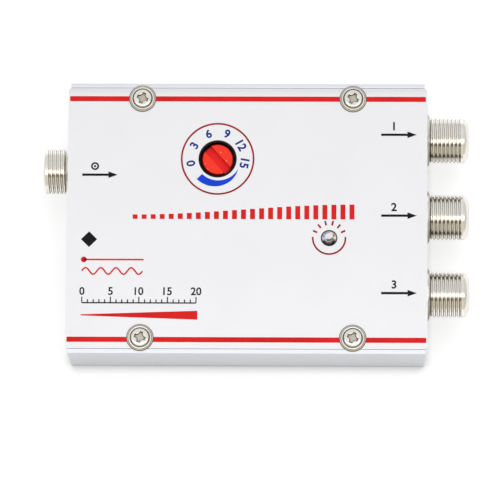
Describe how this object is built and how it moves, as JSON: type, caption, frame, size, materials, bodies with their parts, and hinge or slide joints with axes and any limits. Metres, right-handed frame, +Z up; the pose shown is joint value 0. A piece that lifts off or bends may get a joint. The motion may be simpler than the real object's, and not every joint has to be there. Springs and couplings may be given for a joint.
{
  "type": "tv signal amplifier",
  "caption": "Flat metal cable television amplifier: extruded channel with a screwed cover plate, threaded coaxial input and output ports, a slotted gain control and a power light.",
  "frame": {"origin": "middle of the channel's underside", "axes": "+X from the input end to the output end, +Y to the back, +Z up out of the cover plate"},
  "size_m": [0.0904, 0.058, 0.0174],
  "materials": {
    "channel_aluminium": "satin anodised",
    "cover_aluminium": "fine satin, printed",
    "print_red": "screen printed ink",
    "print_black": "screen printed ink",
    "print_blue": "screen printed ink",
    "panel_steel": "tin plated",
    "nickel": "bright nickel plate",
    "insulator_white": "matte",
    "contact_brass": "bright",
    "bush_rubber": "matte",
    "control_black": "matte",
    "control_red": "semi-gloss",
    "light_clear": "clear",
    "lead_tin": "tinned",
    "board_green": "semi-gloss",
    "sheet_card": "matte",
    "ferrite": "matte",
    "bobbin_plastic": "matte",
    "winding_copper": "enamelled",
    "can_blue": "gloss sleeve",
    "mould_black": "matte",
    "fuse_green": "matte",
    "choke_olive": "matte",
    "disc_tan": "semi-gloss",
    "resistor_beige": "semi-gloss"
  },
  "bodies": {
    "case": {"base_channel": "channel_aluminium", "cover_plate": "cover_aluminium", "cover_screws": "nickel", "input_end_panel": "panel_steel", "output_end_panel": "panel_steel", "input_port_shell": "nickel", "input_port_nut": "nickel", "input_port_insulator": "insulator_white", "input_port_contact": "contact_brass", "output_1_port_shell": "nickel", "output_1_port_nut": "nickel", "output_1_port_insulator": "insulator_white", "output_1_port_contact": "contact_brass", "output_2_port_shell": "nickel", "output_2_port_nut": "nickel", "output_2_port_insulator": "insulator_white", "output_2_port_contact": "contact_brass", "output_3_port_shell": "nickel", "output_3_port_nut": "nickel", "output_3_port_insulator": "insulator_white", "output_3_port_contact": "contact_brass", "mains_inlet_bush": "bush_rubber", "gain_control_housing": "control_black", "gain_control_terminals": "lead_tin", "power_light_lens": "light_clear", "power_light_leads": "lead_tin", "circuit_board": "board_green", "insulating_sheet": "sheet_card", "transformer_core": "ferrite", "transformer_bobbin": "bobbin_plastic", "transformer_winding": "winding_copper", "bulk_capacitor": "can_blue", "output_capacitor": "can_blue", "bridge_rectifier": "mould_black", "converter_chip": "mould_black", "fuse_resistor": "fuse_green", "output_diode": "mould_black", "amplifier_transistor": "mould_black", "splitter_cores": "ferrite", "splitter_windings": "winding_copper", "signal_choke": "choke_olive", "disc_capacitors": "disc_tan", "resistors": "resistor_beige"},
    "gain_rotor": {"gain_control_rotor": "control_red"}
  },
  "joints": [
    {"name": "gain_turn", "type": "hinge", "parent": "case", "child": "gain_rotor", "pos_m": [-0.0063, 0.0127, 0.012], "axis": [0, 0, 1], "range_deg": [-135, 135]}
  ]
}
